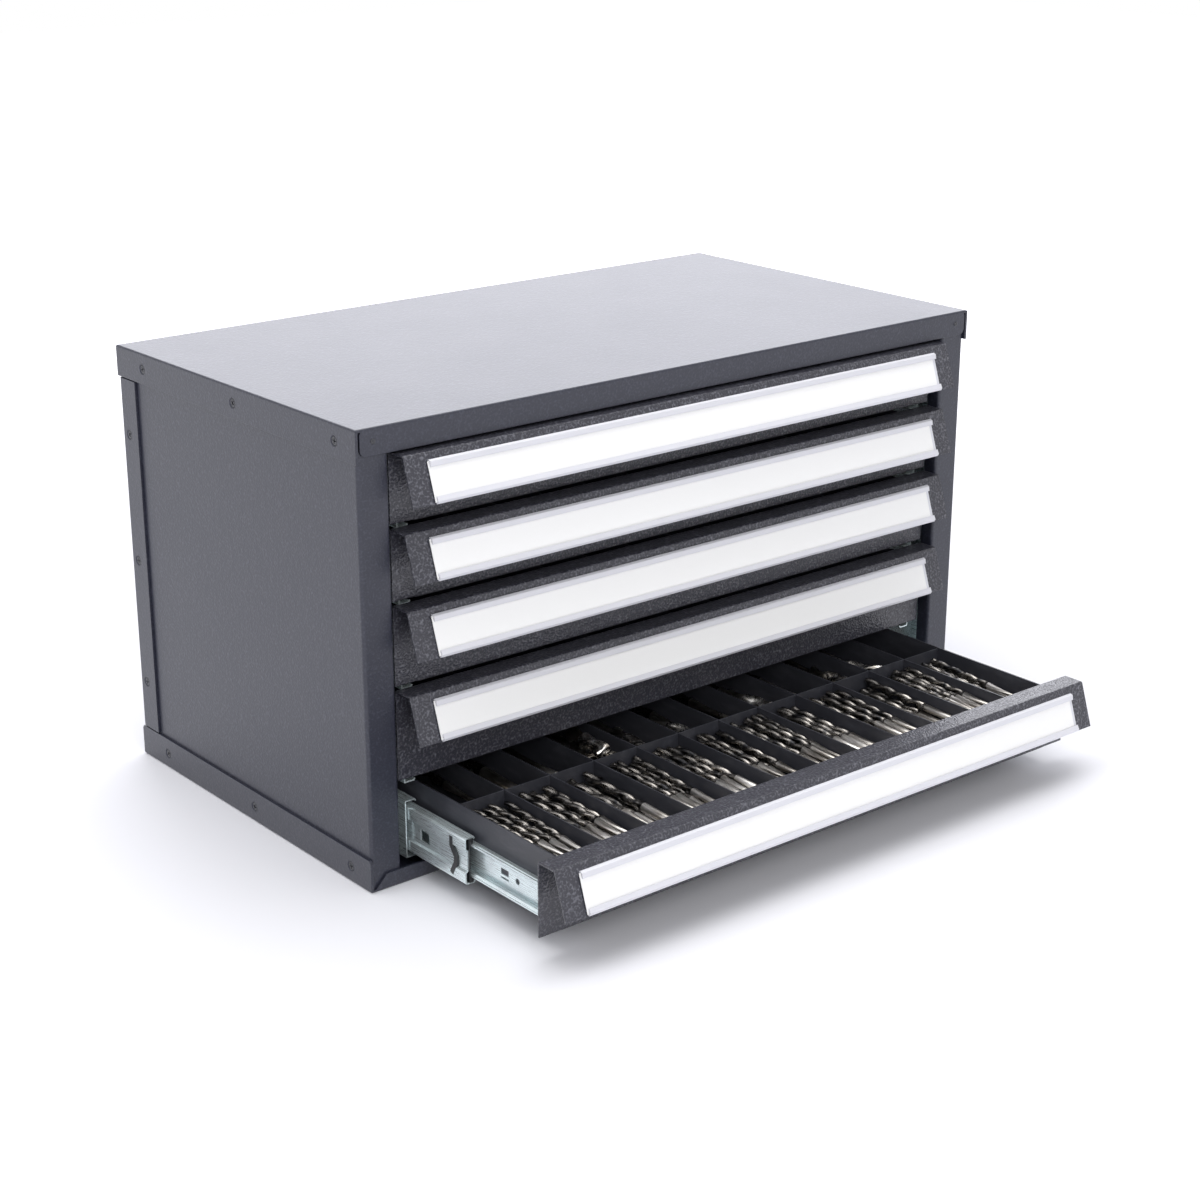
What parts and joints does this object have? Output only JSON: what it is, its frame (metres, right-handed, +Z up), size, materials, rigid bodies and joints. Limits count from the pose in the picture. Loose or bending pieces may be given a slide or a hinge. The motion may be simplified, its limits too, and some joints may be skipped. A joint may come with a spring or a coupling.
{
  "type": "drill bit drawer case",
  "caption": "Charcoal steel bench case of shallow drawers on telescoping ball-bearing slides, each divided into rows of small bit compartments behind a sloped pull.",
  "frame": {"origin": "centre of the case's base, on the surface it stands on", "axes": "+X along the case's width to the right, -Y out of the front, +Z up"},
  "size_m": [0.6, 0.5132, 0.34],
  "materials": {
    "case_paint": "fine leather-grain powder coat, charcoal, semi-gloss",
    "drawer_paint": "leather-grain powder coat, charcoal, semi-gloss",
    "tray_paint": "smooth powder coat, charcoal, satin",
    "holder_aluminium": "white anodised extrusion, satin",
    "card_white": "blank white card",
    "zinc_steel": "bright zinc plate, faintly blue",
    "black_plastic": "moulded, satin",
    "ball_steel": "oiled",
    "black_screws": "painted over with the case"
  },
  "bodies": {
    "case": {"top_cover": "case_paint", "bottom_pan": "case_paint", "side_left": "case_paint", "side_right": "case_paint", "back_panel": "case_paint", "posts_left": "zinc_steel", "posts_right": "zinc_steel", "case_screws": "black_screws", "front_rivets": "black_screws", "slide_1_outer": "zinc_steel", "slide_2_outer": "zinc_steel", "slide_3_outer": "zinc_steel", "slide_4_outer": "zinc_steel", "slide_5_outer": "zinc_steel"},
    "drawer_1": {"drawer_1_front": "drawer_paint", "drawer_1_tray": "tray_paint", "drawer_1_dividers": "tray_paint", "drawer_1_label_holder": "holder_aluminium", "drawer_1_label_card": "card_white", "slide_1_inner": "zinc_steel"},
    "middle_1": {"slide_1_middle": "zinc_steel", "slide_1_bumpers": "black_plastic", "slide_1_ball_retainers": "ball_steel"},
    "drawer_2": {"drawer_2_front": "drawer_paint", "drawer_2_tray": "tray_paint", "drawer_2_dividers": "tray_paint", "drawer_2_label_holder": "holder_aluminium", "drawer_2_label_card": "card_white", "slide_2_inner": "zinc_steel"},
    "middle_2": {"slide_2_middle": "zinc_steel", "slide_2_bumpers": "black_plastic", "slide_2_ball_retainers": "ball_steel"},
    "drawer_3": {"drawer_3_front": "drawer_paint", "drawer_3_tray": "tray_paint", "drawer_3_dividers": "tray_paint", "drawer_3_label_holder": "holder_aluminium", "drawer_3_label_card": "card_white", "slide_3_inner": "zinc_steel"},
    "middle_3": {"slide_3_middle": "zinc_steel", "slide_3_bumpers": "black_plastic", "slide_3_ball_retainers": "ball_steel"},
    "drawer_4": {"drawer_4_front": "drawer_paint", "drawer_4_tray": "tray_paint", "drawer_4_dividers": "tray_paint", "drawer_4_label_holder": "holder_aluminium", "drawer_4_label_card": "card_white", "slide_4_inner": "zinc_steel"},
    "middle_4": {"slide_4_middle": "zinc_steel", "slide_4_bumpers": "black_plastic", "slide_4_ball_retainers": "ball_steel"},
    "drawer_5": {"drawer_5_front": "drawer_paint", "drawer_5_tray": "tray_paint", "drawer_5_dividers": "tray_paint", "drawer_5_label_holder": "holder_aluminium", "drawer_5_label_card": "card_white", "slide_5_inner": "zinc_steel"},
    "middle_5": {"slide_5_middle": "zinc_steel", "slide_5_bumpers": "black_plastic", "slide_5_ball_retainers": "ball_steel"}
  },
  "joints": [
    {"name": "drawer_1_slide", "type": "slide", "parent": "case", "child": "drawer_1", "axis": [0, -1, 0], "range_m": [0, 0.3]},
    {"name": "middle_1_slide", "type": "slide", "parent": "case", "child": "middle_1", "axis": [0, -1, 0], "range_m": [0, 0.15]},
    {"name": "drawer_2_slide", "type": "slide", "parent": "case", "child": "drawer_2", "axis": [0, -1, 0], "range_m": [0, 0.3]},
    {"name": "middle_2_slide", "type": "slide", "parent": "case", "child": "middle_2", "axis": [0, -1, 0], "range_m": [0, 0.15]},
    {"name": "drawer_3_slide", "type": "slide", "parent": "case", "child": "drawer_3", "axis": [0, -1, 0], "range_m": [0, 0.3]},
    {"name": "middle_3_slide", "type": "slide", "parent": "case", "child": "middle_3", "axis": [0, -1, 0], "range_m": [0, 0.15]},
    {"name": "drawer_4_slide", "type": "slide", "parent": "case", "child": "drawer_4", "axis": [0, -1, 0], "range_m": [0, 0.3]},
    {"name": "middle_4_slide", "type": "slide", "parent": "case", "child": "middle_4", "axis": [0, -1, 0], "range_m": [0, 0.15]},
    {"name": "drawer_5_slide", "type": "slide", "parent": "case", "child": "drawer_5", "axis": [0, -1, 0], "range_m": [-0.162, 0.138]},
    {"name": "middle_5_slide", "type": "slide", "parent": "case", "child": "middle_5", "axis": [0, -1, 0], "range_m": [-0.081, 0.069]}
  ],
  "couplings": [
    {"joint": "middle_1_slide", "follows": "drawer_1_slide", "ratio": 0.5},
    {"joint": "middle_2_slide", "follows": "drawer_2_slide", "ratio": 0.5},
    {"joint": "middle_3_slide", "follows": "drawer_3_slide", "ratio": 0.5},
    {"joint": "middle_4_slide", "follows": "drawer_4_slide", "ratio": 0.5},
    {"joint": "middle_5_slide", "follows": "drawer_5_slide", "ratio": 0.5}
  ]
}
